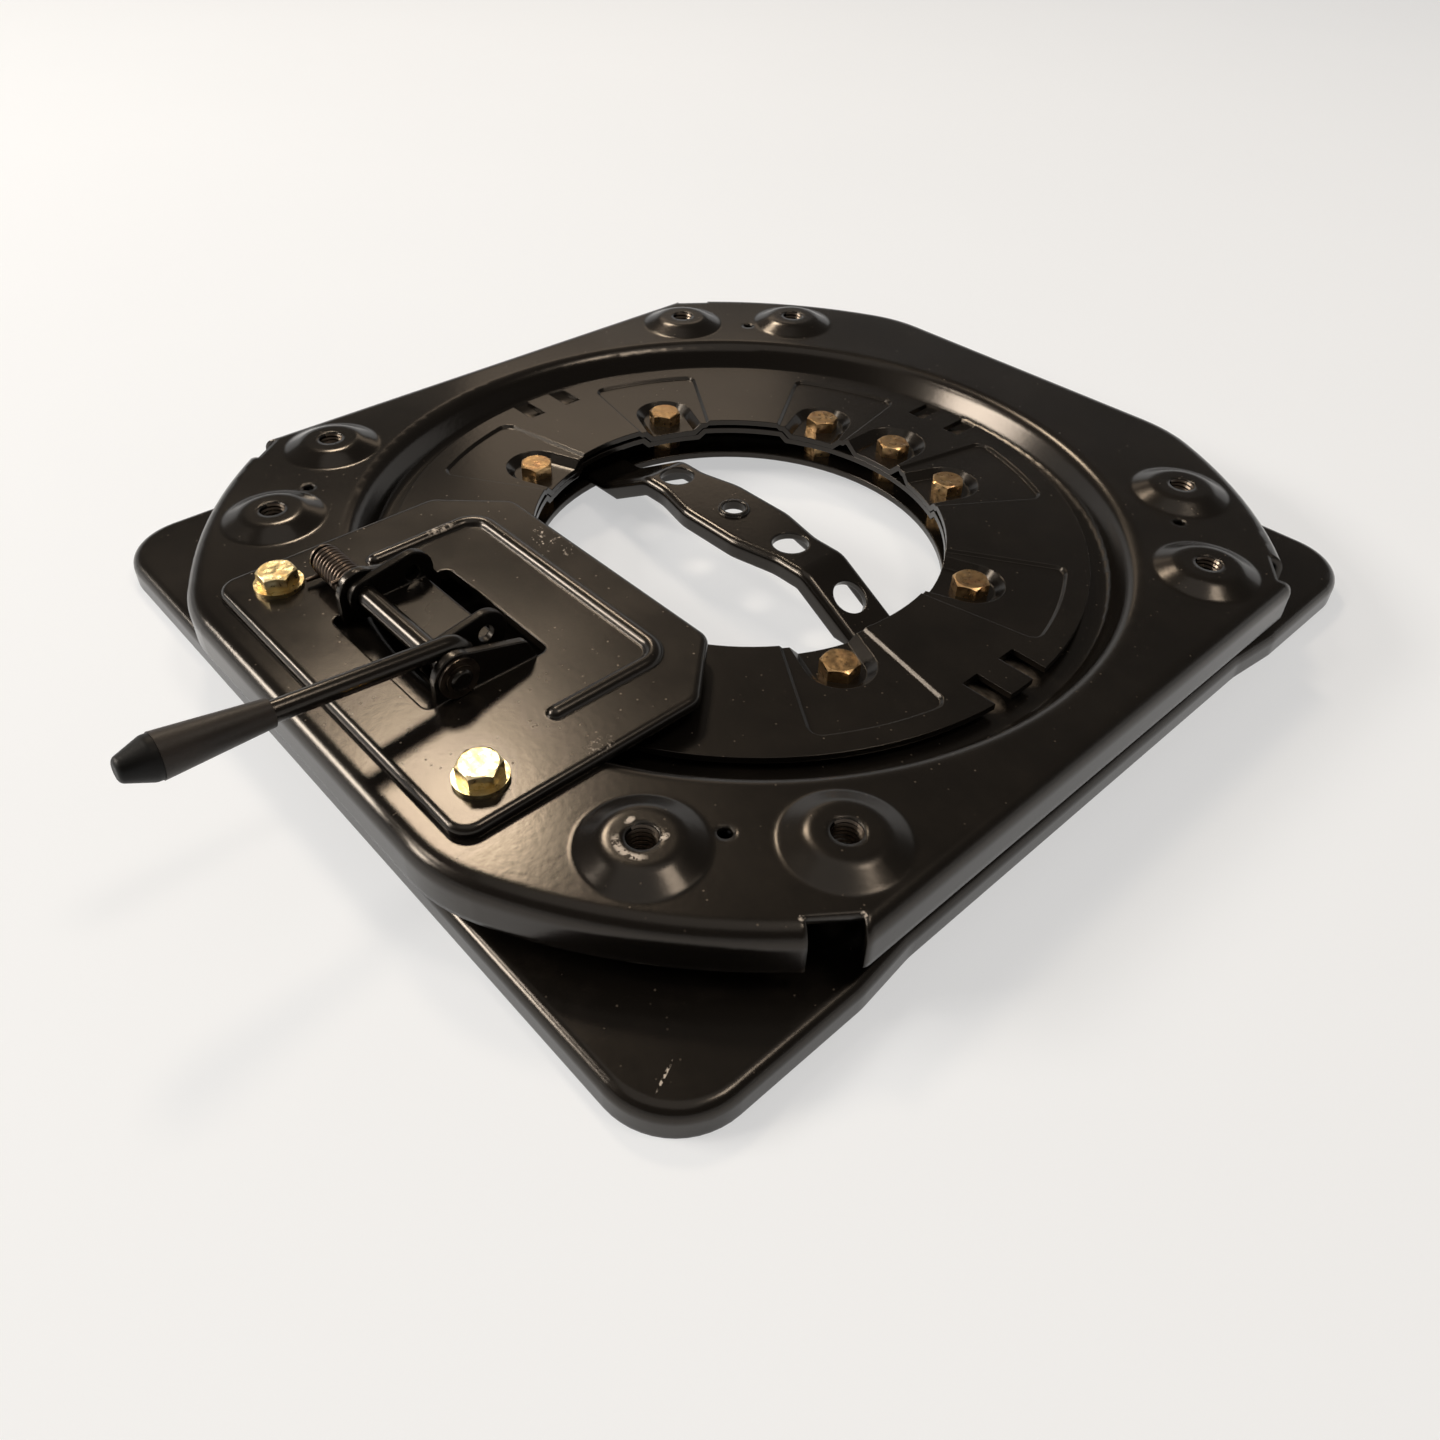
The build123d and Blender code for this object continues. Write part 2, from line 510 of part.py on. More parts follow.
def top_plate():
    outline = top_outline()
    rim_bottom = TOP_HEIGHT - TOP_RIM_HEIGHT
    outer = extrude(Pos(0, 0, rim_bottom) * outline, TOP_RIM_HEIGHT)
    outer = fillet(outer.faces().sort_by(Axis.Z)[-1].edges(), TOP_EDGE_RADIUS)
    inner = extrude(Pos(0, 0, rim_bottom) * offset(outline, -PLATE_GAUGE), TOP_RIM_HEIGHT - PLATE_GAUGE)
    inner = fillet(inner.faces().sort_by(Axis.Z)[-1].edges(), TOP_EDGE_RADIUS - PLATE_GAUGE)
    plate = outer - inner

    # The recess round the ring, with the inner flange that runs between the glide rings
    plate -= drill(RECESS_LIP_RADIUS, rim_bottom, TOP_HEIGHT)
    plate += pressed(
        [(FLANGE_INNER_RADIUS, FLANGE_TOP), (RECESS_RADIUS - RECESS_WALL_RUN, FLANGE_TOP),
         (RECESS_RADIUS, TOP_HEIGHT), (RECESS_LIP_RADIUS, TOP_HEIGHT)],
        [RECESS_FOOT_BEND, RECESS_LIP_BEND], PLATE_GAUGE)

    # Raised bosses for the seat's bolts
    skirt = BOSS_BASE_RADIUS + BOSS_SKIRT
    boss = pressed(
        [(SEAT_THREAD_RADIUS, TOP_HEIGHT + BOSS_HEIGHT), (BOSS_TOP_RADIUS, TOP_HEIGHT + BOSS_HEIGHT),
         (BOSS_BASE_RADIUS, TOP_HEIGHT), (skirt, TOP_HEIGHT)],
        [BOSS_SHOULDER_BEND, BOSS_FOOT_BEND], PLATE_GAUGE)
    for x, y in corners(WIDE_PATTERN) + corners(NARROW_PATTERN):
        plate -= Pos(x, y, 0) * drill(skirt, rim_bottom, TOP_HEIGHT)
        plate += Pos(x, y, 0) * boss
    for x, y in corners(PILOT_PATTERN):
        plate -= Pos(x, y, 0) * drill(PILOT_HOLE_RADIUS, rim_bottom, TOP_HEIGHT)
    for side in (-1, 1):
        plate -= Pos(side * LATCH_BOLT_X, LATCH_BOLT_Y, 0) * drill(M8_HOLE_RADIUS, rim_bottom, TOP_HEIGHT)

    # Relief notches where the straight side flanges meet the round rim
    notch = Pos(TOP_ROUND_RADIUS, 0, TOP_HEIGHT) * Box(2 * NOTCH_DEPTH, NOTCH_WIDTH, 4 * TOP_RIM_HEIGHT)
    for angle in (NOTCH_ANGLE, 180 - NOTCH_ANGLE, 180 + NOTCH_ANGLE, -NOTCH_ANGLE):
        plate -= Rot(0, 0, angle) * notch
    return plate


def seat_weld_nuts():
    top = TOP_UNDER + BOSS_HEIGHT
    nut = Rot(180, 0, 0) * hexagon(SEAT_NUT_ACROSS_FLATS, -top, SEAT_NUT_HEIGHT - top, SEAT_THREAD_RADIUS)
    places = corners(WIDE_PATTERN) + corners(NARROW_PATTERN)
    return Compound(children=[Pos(x, y, 0) * nut for x, y in places])


def at_latch_bolts(shape):
    return Compound(children=[Pos(side * LATCH_BOLT_X, LATCH_BOLT_Y, 0) * shape for side in (-1, 1)])


def latch_bolts():
    seat = LATCH_TOP + WASHER_THICKNESS
    return at_latch_bolts(hex_bolt(seat, TOP_UNDER - M8_NUT_HEIGHT - BOLT_TAIL))


def latch_washers():
    return at_latch_bolts(tube(WASHER_RADIUS, M8_HOLE_RADIUS, LATCH_TOP, LATCH_TOP + WASHER_THICKNESS))


def latch_weld_nuts():
    nut = Rot(180, 0, 0) * hexagon(M8_ACROSS_FLATS, -TOP_UNDER, M8_NUT_HEIGHT - TOP_UNDER,
                                   M8_RADIUS + SEAT_PLAY)
    return at_latch_bolts(nut)


def side_plate(face, left, gauge):
    """A flat cut from sheet: an outline drawn as (Y, Z), standing across X from its left face."""
    return extrude(Plane(origin=(left, 0, 0), x_dir=(0, 1, 0), z_dir=(1, 0, 0)) * face, gauge)


def pivot_disc(radius):
    return Pos(PIVOT_Y, PIVOT_Z) * Circle(radius)


def lug_face():
    """A bearing lug: round over the shaft, with a shoulder sloping down towards the middle of the base."""
    shoulder = (LUG_INNER - LUG_SHOULDER, LATCH_TOP + LUG_INNER_HEIGHT)
    face = make_face(Polyline(
        (PIVOT_Y - LUG_RADIUS, TOP_HEIGHT), (PIVOT_Y - LUG_RADIUS, PIVOT_Z), (PIVOT_Y, PIVOT_Z + LUG_RADIUS),
        shoulder, (LUG_INNER, LATCH_TOP), (LUG_INNER, TOP_HEIGHT), close=True))
    face = fillet(face.vertices().sort_by_distance((*shoulder, 0))[0], LUG_SHOULDER)
    return face + pivot_disc(LUG_RADIUS) - pivot_disc(SHAFT_RADIUS + SHAFT_PLAY)


def latch_plate():
    chamfer_x = LATCH_HALF_WIDTH - LATCH_CHAMFER_X
    outline = make_face(Polyline(
        (-LATCH_HALF_WIDTH, LATCH_FRONT), (LATCH_HALF_WIDTH, LATCH_FRONT),
        (LATCH_HALF_WIDTH, LATCH_INNER - LATCH_CHAMFER_Y), (chamfer_x, LATCH_INNER),
        (-chamfer_x, LATCH_INNER), (-LATCH_HALF_WIDTH, LATCH_INNER - LATCH_CHAMFER_Y), close=True))
    outline = fillet(outline.vertices(), LATCH_CORNER_RADIUS)
    plate = extrude(Pos(0, 0, TOP_HEIGHT) * outline, LATCH_GAUGE)
    plate = fillet(plate.faces().sort_by(Axis.Z)[-1].edges(), LATCH_EDGE_RADIUS)

    middle = ((WINDOW_LEFT + WINDOW_RIGHT) / 2, (WINDOW_FRONT + WINDOW_INNER) / 2, TOP_HEIGHT)
    window = RectangleRounded(WINDOW_RIGHT - WINDOW_LEFT, WINDOW_INNER - WINDOW_FRONT, WINDOW_CORNER_RADIUS)
    plate -= extrude(Pos(middle) * window, LATCH_GAUGE)

    # Stiffening bead: a half-round ridge in a U
    bead_z = LATCH_TOP - BEAD_SINK
    ends = [(-BEAD_HALF_WIDTH, BEAD_LEG_END, bead_z), (BEAD_HALF_WIDTH, BEAD_LEG_END, bead_z)]
    path = FilletPolyline(ends[0], (-BEAD_HALF_WIDTH, BEAD_INNER, bead_z),
                          (BEAD_HALF_WIDTH, BEAD_INNER, bead_z), ends[1], radius=BEAD_CORNER_RADIUS)
    bead = sweep(Plane(ends[0], z_dir=(0, 1, 0)) * Circle(BEAD_RADIUS), path)
    for point in ends:
        bead += Pos(point) * Sphere(BEAD_RADIUS)
    bead &= Pos(0, 0, TOP_HEIGHT + LATCH_GAUGE / 2 + REACH / 2) * Box(REACH, REACH, REACH)
    plate += bead

    # Lugs folded up along the window's sides
    for left in (WINDOW_LEFT, WINDOW_RIGHT - LUG_GAUGE):
        plate += side_plate(lug_face(), left, LUG_GAUGE)
    for side in (-1, 1):
        plate -= Pos(side * LATCH_BOLT_X, LATCH_BOLT_Y, 0) * drill(M8_HOLE_RADIUS, TOP_HEIGHT, LATCH_TOP)
    return plate


def along_shaft(shape):
    """A shape drawn round Z, laid along the shaft so that its heights become X."""
    return Pos(0, PIVOT_Y, PIVOT_Z) * Rot(0, 90, 0) * shape


def pivot_shaft():
    shaft = along_shaft(drill(SHAFT_RADIUS, SHAFT_LEFT, SHAFT_RIGHT))
    return chamfer(shaft.edges(), SHAFT_CHAMFER)


def pivot_washer():
    """A plain washer on the shaft outside the right lug."""
    left = WINDOW_RIGHT + CLIP_GAP
    return along_shaft(tube(PIVOT_WASHER_RADIUS, SHAFT_RADIUS + SEAT_PLAY, left, left + PIVOT_WASHER_THICKNESS))


def shaft_clips():
    """Open retaining rings outside the washer and at the end of the spring."""
    ring = tube(CLIP_RADIUS, SHAFT_RADIUS + SEAT_PLAY, 0, CLIP_THICKNESS)
    ring -= Pos(CLIP_RADIUS, 0, 0) * Box(2 * CLIP_RADIUS, SHAFT_RADIUS, 4 * CLIP_THICKNESS)
    right = WINDOW_RIGHT + PIVOT_WASHER_THICKNESS + 2 * CLIP_GAP
    left = SHAFT_LEFT + SHAFT_CHAMFER + CLIP_GAP
    return Compound(children=[along_shaft(Pos(0, 0, x) * ring) for x in (left, right)])


def pawl():
    """Folded sheet: two cheeks on the shaft, a web between them and an apron with two teeth."""
    ear = Pos(EAR_Y, EAR_Z) * Circle(EAR_RADIUS)
    cheek = make_hull(ear.edges() + pivot_disc(CHEEK_RADIUS).edges())
    cheek -= pivot_disc(SHAFT_RADIUS + SEAT_PLAY)
    cheek -= Pos(EAR_Y, EAR_Z) * Circle(EAR_HOLE_RADIUS)
    body = side_plate(cheek, LEFT_CHEEK_X, PAWL_GAUGE) + side_plate(cheek, RIGHT_CHEEK_X, PAWL_GAUGE)
    web_start = PIVOT_Y + SHAFT_RADIUS + SEAT_PLAY
    web_bottom = WEB_TOP - PAWL_GAUGE
    fold = make_face(Polyline(
        (web_start, WEB_TOP), (APRON_Y, WEB_TOP), (APRON_Y, APRON_BOTTOM),
        (APRON_Y - PAWL_GAUGE, APRON_BOTTOM), (APRON_Y - PAWL_GAUGE, web_bottom), (web_start, web_bottom),
        close=True))
    web_left = LEFT_CHEEK_X + PAWL_GAUGE
    body += side_plate(fold, web_left, RIGHT_CHEEK_X - web_left)
    tooth_width = SLOT_WIDTH - 2 * TOOTH_PLAY
    tooth_height = APRON_BOTTOM - TOOTH_TIP + PAWL_GAUGE
    tooth = Box(tooth_width, PAWL_GAUGE, tooth_height)
    for side in (-1, 1):
        body += Pos(side * SLOT_OFFSET, APRON_Y - PAWL_GAUGE / 2, TOOTH_TIP + tooth_height / 2) * tooth
    return body


def lever_point(along, across):
    """A point given along the lever's bar, outwards from the shaft, and across it, upwards."""
    tilt = math.radians(LEVER_TILT)
    y = PIVOT_Y - along * math.cos(tilt) + across * math.sin(tilt)
    z = PIVOT_Z + along * math.sin(tilt) + across * math.cos(tilt)
    return (LEVER_X, y, z)


def lever_bar():
    """Round bar, straight in the grip and curled round the shaft at its inner end."""
    half_curl, curl = math.radians(LEVER_CURL / 2), math.radians(LEVER_CURL)
    start, bend = lever_point(LEVER_LENGTH, CURL_RADIUS), lever_point(0, CURL_RADIUS)
    middle = lever_point(-CURL_RADIUS * math.sin(half_curl), CURL_RADIUS * math.cos(half_curl))
    end = lever_point(-CURL_RADIUS * math.sin(curl), CURL_RADIUS * math.cos(curl))
    path = Line(start, bend) + ThreePointArc(bend, middle, end)
    inward = Vector(*bend) - Vector(*start)
    return sweep(Plane(start, z_dir=inward) * Circle(LEVER_RADIUS), path)


def on_lever_bar(shape):
    """A shape drawn round Z, laid along the bar so that its heights run outwards from the shaft."""
    outward = Vector(*lever_point(1, CURL_RADIUS)) - Vector(*lever_point(0, CURL_RADIUS))
    return Plane(lever_point(0, CURL_RADIUS), z_dir=outward) * shape


def grip_sleeve():
    bore = LEVER_RADIUS + SEAT_PLAY
    end = GRIP_START + SLEEVE_LENGTH
    return on_lever_bar(turned([
        (bore, GRIP_START), (SLEEVE_START_RADIUS, GRIP_START), (SLEEVE_END_RADIUS, end), (bore, end)]))


def grip_cap():
    start = GRIP_START + SLEEVE_LENGTH
    radius = SLEEVE_END_RADIUS - CAP_STEP
    cap = turned([
        (0, start), (radius, start), (radius, start + CAP_SHOULDER),
        (CAP_END_RADIUS, start + CAP_LENGTH), (0, start + CAP_LENGTH)])
    cap = fillet(cap.edges().filter_by(GeomType.CIRCLE).sort_by(Axis.Z)[-1], CAP_TIP_RADIUS)
    cap = fillet(cap.edges().filter_by(GeomType.CIRCLE).sort_by(Axis.Z)[1], CAP_SHOULDER_RADIUS)
    return on_lever_bar(cap)


def torsion_spring():
    """Close-wound wire round the shaft, with a straight leg at each end."""
    coil_radius = SHAFT_RADIUS + SPRING_PLAY + SPRING_WIRE_RADIUS
    height = SPRING_PITCH * SPRING_TURNS
    path = Helix(SPRING_PITCH, height, coil_radius)
    wire = Circle(SPRING_WIRE_RADIUS)
    coil = sweep(Plane(path @ 0, z_dir=path % 0) * wire, path, is_frenet=True)
    for place, direction in ((path @ 0, path % 0 * -1), (path @ 1, path % 1)):
        coil += extrude(Plane(place, z_dir=direction) * wire, SPRING_LEG)
    outer_end = WINDOW_LEFT - SPRING_START_GAP - height
    return along_shaft(Pos(0, 0, outer_end) * coil)


PARTS = [
    base_plate, lower_glide_ring, upper_glide_ring, lock_ring, under_ring, ring_bolts, spacer_nuts, cross_strap,
    top_plate, seat_weld_nuts, latch_plate, latch_bolts, latch_washers, latch_weld_nuts,
    pivot_shaft, pivot_washer, shaft_clips, pawl, lever_bar, grip_sleeve, grip_cap, torsion_spring,
]

os.makedirs("parts", exist_ok=True)
for make in PARTS:
    export_step(make(), f"parts/{make.__name__}.step")
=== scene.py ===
import math

import bmesh
import bpy
from mathutils import Matrix, Vector


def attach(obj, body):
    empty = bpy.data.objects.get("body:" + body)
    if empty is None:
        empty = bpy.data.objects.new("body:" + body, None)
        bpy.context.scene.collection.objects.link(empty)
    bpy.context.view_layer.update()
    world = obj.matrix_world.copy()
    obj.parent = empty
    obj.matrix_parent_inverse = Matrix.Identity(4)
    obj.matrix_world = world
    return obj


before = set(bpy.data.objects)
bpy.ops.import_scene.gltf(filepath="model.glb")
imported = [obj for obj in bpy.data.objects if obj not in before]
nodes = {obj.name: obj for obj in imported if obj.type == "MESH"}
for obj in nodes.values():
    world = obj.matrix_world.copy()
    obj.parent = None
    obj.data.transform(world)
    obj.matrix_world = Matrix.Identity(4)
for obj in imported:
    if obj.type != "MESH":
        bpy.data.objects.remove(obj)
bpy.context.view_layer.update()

# Base plate
# A tray pressed from steel sheet, with its rim folded down and the bearing track raised in it.
# It is painted gloss black and bolted to the vehicle's seat box.
PAINT = (0.0046, 0.0038, 0.0031, 1.0)
WARM_GLOSS = (1.0, 0.90, 0.80, 1.0)
DUST = (0.27, 0.22, 0.17, 1.0)
BARE_METAL = (0.52, 0.46, 0.40, 1.0)
EDGE_ROUNDING = 0.0012
EDGE_WEAR = 0.2
DUST_ROUGHNESS = 0.5
NOISE_LOW = 0.3
NOISE_HIGH = 0.7
BASE_SCRATCH = (0.1639, -0.1834, 0.011)
BASE_SCRATCH_HALF_SIZES = (0.0056, 0.0005, 0.004)
BASE_SCRATCH_ANGLE = 1.147


def feed(tree, socket, value):
    """Link another node's socket to this one, or set this one to a value."""
    if isinstance(value, bpy.types.NodeSocket):
        tree.links.new(value, socket)
    else:
        socket.default_value = value


def add(tree, kind, inputs=None, **settings):
    """A shader node with these settings, and its inputs set to values or linked to other sockets."""
    made = tree.nodes.new(kind)
    for name, value in settings.items():
        setattr(made, name, value)
    for name, value in (inputs or {}).items():
        feed(tree, made.inputs[name], value)
    return made


def effect(name, inputs, outputs):
    """An empty shader node group with named float inputs, and outputs given as name and socket type."""
    tree = bpy.data.node_groups.new(name, "ShaderNodeTree")
    for label, value in inputs.items():
        socket = tree.interface.new_socket(label, in_out="INPUT", socket_type="NodeSocketFloat")
        socket.default_value = value
    for label, kind in outputs.items():
        tree.interface.new_socket(label, in_out="OUTPUT", socket_type=kind)
    return tree, tree.nodes.new("NodeGroupInput").outputs, tree.nodes.new("NodeGroupOutput").inputs


def new_material(name):
    """A new material, with its node tree and its shader."""
    material = bpy.data.materials.new(name)
    material.use_nodes = True
    return material, material.node_tree, material.node_tree.nodes["Principled BSDF"]


def object_place(tree):
    return add(tree, "ShaderNodeTexCoord").outputs["Object"]


def face_normal(tree):
    return add(tree, "ShaderNodeNewGeometry").outputs["Normal"]


def noise(tree, place, scale, detail, **more):
    """A cloudy noise; more gives other inputs of its node by name."""
    inputs = {"Vector": place, "Scale": scale, "Detail": detail, **more}
    return add(tree, "ShaderNodeTexNoise", inputs).outputs["Fac"]


def ramp(tree, value, low, high, start=0.0, end=1.0):
    """A value stretched from one range to another, and held at its ends."""
    inputs = {"Value": value, "From Min": low, "From Max": high, "To Min": start, "To Max": end}
    return add(tree, "ShaderNodeMapRange", inputs).outputs["Result"]


def spread(tree, clouds, start=0.0, end=1.0):
    """A noise's middle range stretched to run between two values."""
    return ramp(tree, clouds, NOISE_LOW, NOISE_HIGH, start, end)


def times(tree, first, second):
    return add(tree, "ShaderNodeMath", {0: first, 1: second}, operation="MULTIPLY").outputs[0]


def greater(tree, first, second):
    return add(tree, "ShaderNodeMath", {0: first, 1: second}, operation="MAXIMUM").outputs[0]


def vector_math(tree, operation, *values):
    """The outputs of a vector operation on these values."""
    return add(tree, "ShaderNodeVectorMath", dict(enumerate(values)), operation=operation).outputs


def blended(tree, share, first, second):
    """Two colours mixed by a share."""
    mix = add(tree, "ShaderNodeMix", data_type="RGBA")
    colours = [socket for socket in mix.inputs if socket.type == "RGBA"]
    for socket, value in ((mix.inputs[0], share), (colours[0], first), (colours[1], second)):
        feed(tree, socket, value)
    return [socket for socket in mix.outputs if socket.type == "RGBA"][0]


def bump(tree, height, strength, distance, **more):
    """A normal roughened by a height; more may give the normal that it starts from."""
    inputs = {"Height": height, "Strength": strength, "Distance": distance, **more}
    return add(tree, "ShaderNodeBump", inputs).outputs["Normal"]


# Dust that settles on upward faces: a thin film in clouds, and loose specks
dust, given, out = effect("settled dust", {"Film": 0.3, "Specks": 0.5}, {"Mask": "NodeSocketFloat"})
place = object_place(dust)
clouds = noise(dust, place, scale=26.0, detail=6.0, Roughness=0.65)
film = times(dust, ramp(dust, clouds, low=0.45, high=0.75), given["Film"])
cells = add(dust, "ShaderNodeTexVoronoi", {"Vector": place, "Scale": 330.0}).outputs
grain = ramp(dust, cells["Distance"], low=0.06, high=0.16, start=1.0, end=0.0)
chance = add(dust, "ShaderNodeSeparateColor", {"Color": cells["Color"]}).outputs[0]
speck = times(dust, times(dust, grain, ramp(dust, chance, low=0.72, high=0.9)), given["Specks"])
facing = add(dust, "ShaderNodeSeparateXYZ", {"Vector": face_normal(dust)}).outputs["Z"]
upward = ramp(dust, facing, low=0.6, high=0.98)
feed(dust, out["Mask"], times(dust, greater(dust, film, speck), upward))

# Paint over pressed edges: a soft rounding, a fine orange peel, and worn places on the sharpest corners
edge, given, out = effect("paint over edges", {"Radius": EDGE_ROUNDING, "Peel": 0.04},
                          {"Normal": "NodeSocketVector", "Thin": "NodeSocketFloat"})
place = object_place(edge)
rounded = add(edge, "ShaderNodeBevel", {"Radius": given["Radius"]}, samples=8).outputs["Normal"]
peel = noise(edge, place, scale=420.0, detail=2.0)
feed(edge, out["Normal"], bump(edge, peel, strength=given["Peel"], distance=0.0006, Normal=rounded))
agreement = vector_math(edge, "DOT_PRODUCT", rounded, face_normal(edge))["Value"]
patches = noise(edge, place, scale=70.0, detail=5.0)
worn = times(edge, ramp(edge, agreement, low=0.82, high=0.6), ramp(edge, patches, low=0.58, high=0.68))
feed(edge, out["Thin"], worn)


def gloss_paint(name, film, specks, smooth=0.15, dull=0.25, rounding=EDGE_ROUNDING, gloss=0.5,
                chips=None, grime=None):
    """Gloss black paint with dust on it and worn corners.

    The functions chips and grime give masks of more places that are bare and dirty.
    """
    material, tree, shader = new_material(name)
    shader.inputs["Specular Tint"].default_value = WARM_GLOSS
    shader.inputs["Specular IOR Level"].default_value = gloss
    place = object_place(tree)
    settled = add(tree, "ShaderNodeGroup", node_tree=dust)
    settled.inputs["Film"].default_value = film
    settled.inputs["Specks"].default_value = specks
    edges = add(tree, "ShaderNodeGroup", node_tree=edge)
    edges.inputs["Radius"].default_value = rounding
    sheen = spread(tree, noise(tree, place, scale=9.0, detail=5.0), smooth, dull)
    bare = times(tree, edges.outputs["Thin"], EDGE_WEAR)
    if chips:
        bare = greater(tree, bare, chips(tree, place))
    dirt = settled.outputs["Mask"]
    if grime:
        dirt = greater(tree, dirt, grime(tree, place))
    painted = blended(tree, bare, PAINT, BARE_METAL)
    feed(tree, shader.inputs["Base Color"], blended(tree, dirt, painted, DUST))
    dusty = ramp(tree, greater(tree, dirt, bare), low=0.0, high=1.0, end=DUST_ROUGHNESS)
    rough = add(tree, "ShaderNodeMath", {0: sheen, 1: dusty}, operation="ADD", use_clamp=True)
    feed(tree, shader.inputs["Roughness"], rough.outputs[0])
    feed(tree, shader.inputs["Normal"], edges.outputs["Normal"])
    return material


def finish_node(name, material):
    """A CAD node keeps its shape and takes this material."""
    nodes[name].data.materials.clear()
    nodes[name].data.materials.append(material)


def around(tree, place, centre, half_sizes):
    """A mask that is 1 inside an ellipsoid round a point and fades out at its surface."""
    away = vector_math(tree, "SUBTRACT", place, centre)["Vector"]
    share = vector_math(tree, "DIVIDE", away, half_sizes)["Vector"]
    return ramp(tree, vector_math(tree, "LENGTH", share)["Value"], low=1.0, high=0.6)


def flakes(tree, place, scale, low, high):
    """A mask of small ragged flakes."""
    return ramp(tree, noise(tree, place, scale, detail=3.0, Roughness=0.7), low, high)


def base_scratch(tree, place):
    """A short broken scratch near the front corner."""
    turned = add(tree, "ShaderNodeVectorRotate", {
        "Vector": place, "Center": BASE_SCRATCH, "Axis": (0.0, 0.0, 1.0), "Angle": BASE_SCRATCH_ANGLE})
    streak = around(tree, turned.outputs["Vector"], BASE_SCRATCH, BASE_SCRATCH_HALF_SIZES)
    return times(tree, streak, flakes(tree, place, scale=800.0, low=0.46, high=0.52))


finish_node("base_plate", gloss_paint("base paint", film=0.03, specks=0.22, chips=base_scratch))

# Glide rings
# Two split rings of pale bearing plastic, one below and one above the turning flange.
# They are moulded flat and lie on the bearing track and under the lock ring.
GLIDE_PALE = (0.55, 0.54, 0.5, 1.0)
LIGHT_PATCH = 1.3
DARK_PATCH = 0.75
SMOOTHER_PATCH = 0.06
ROUGHER_PATCH = 0.08


def shaded(colour, share):
    """A colour made lighter or darker by a share."""
    return tuple(min(1.0, channel * share) for channel in colour[:3]) + (1.0,)


def moulded(name, colour, rough, grain_scale, grain_depth, gloss=0.5):
    """A moulded plastic with a fine grain and a slightly uneven sheen."""
    material, tree, shader = new_material(name)
    shader.inputs["Specular IOR Level"].default_value = gloss
    place = object_place(tree)
    patches = noise(tree, place, scale=60.0, detail=5.0)
    mottled = blended(tree, spread(tree, patches), shaded(colour, DARK_PATCH), shaded(colour, LIGHT_PATCH))
    feed(tree, shader.inputs["Base Color"], mottled)
    sheen = spread(tree, patches, rough - SMOOTHER_PATCH, rough + ROUGHER_PATCH)
    feed(tree, shader.inputs["Roughness"], sheen)
    grain = noise(tree, place, grain_scale, detail=3.0)
    feed(tree, shader.inputs["Normal"], bump(tree, grain, strength=grain_depth, distance=0.0004))
    return material


glide_plastic = moulded("glide plastic", GLIDE_PALE, rough=0.45, grain_scale=700.0, grain_depth=0.1)
finish_node("lower_glide_ring", glide_plastic)
finish_node("upper_glide_ring", glide_plastic)

# Lock ring
# A ring pressed from thinner steel sheet, with bolt pockets, lowered panels and paired lock slots.
# It has the same dusty paint, and its bolts hold it above the base plate.
ring_paint = gloss_paint("ring paint", film=0.02, specks=0.25, rounding=0.0005)
finish_node("lock_ring", ring_paint)

# Under ring
# A narrower ring pressed from the same sheet and painted alike, whose edge shows in the central hole.
# The lock ring's bolts clamp it below that ring.
finish_node("under_ring", ring_paint)

# Ring bolts and spacer nuts
# Hexagon bolts that go through both rings, and long hexagon nuts below them on the base plate.
# They are forged steel with yellow zinc plating, which runs from straw to rose and brown.
RING_STRAW = (0.62, 0.42, 0.21, 1.0)
RING_BROWN = (0.46, 0.28, 0.13, 1.0)
ROSE = (0.50, 0.25, 0.14, 1.0)
ROSE_SHARE = 0.45


def zinc(name, pale, deep):
    """Yellow passivated zinc: clouds from pale to deep with rosy ones over them, dented and scuffed."""
    material, tree, shader = new_material(name)
    shader.inputs["Metallic"].default_value = 1.0
    place = object_place(tree)
    tint = noise(tree, place, scale=110.0, detail=2.0, Distortion=0.6)
    straw = blended(tree, spread(tree, tint), deep, pale)
    rosy = ramp(tree, noise(tree, place, scale=190.0, detail=2.0), low=0.5, high=0.75, end=ROSE_SHARE)
    feed(tree, shader.inputs["Base Color"], blended(tree, rosy, straw, ROSE))
    scuffs = noise(tree, place, scale=500.0, detail=4.0)
    feed(tree, shader.inputs["Roughness"], spread(tree, scuffs, 0.24, 0.4))
    forged = bump(tree, noise(tree, place, scale=240.0, detail=1.0), strength=1.0, distance=0.0004)
    feed(tree, shader.inputs["Normal"], bump(tree, scuffs, strength=0.08, distance=0.0003, Normal=forged))
    return material


ring_zinc = zinc("ring bolt zinc", RING_STRAW, RING_BROWN)
finish_node("ring_bolts", ring_zinc)
finish_node("spacer_nuts", ring_zinc)

# Cross strap
# A waisted, arched bar of steel sheet across the central hole, pressed with turned-down edges and holes.
# It has the same paint and is welded to the base plate at its feet.
finish_node("cross_strap", gloss_paint("strap paint", film=0.03, specks=0.3))

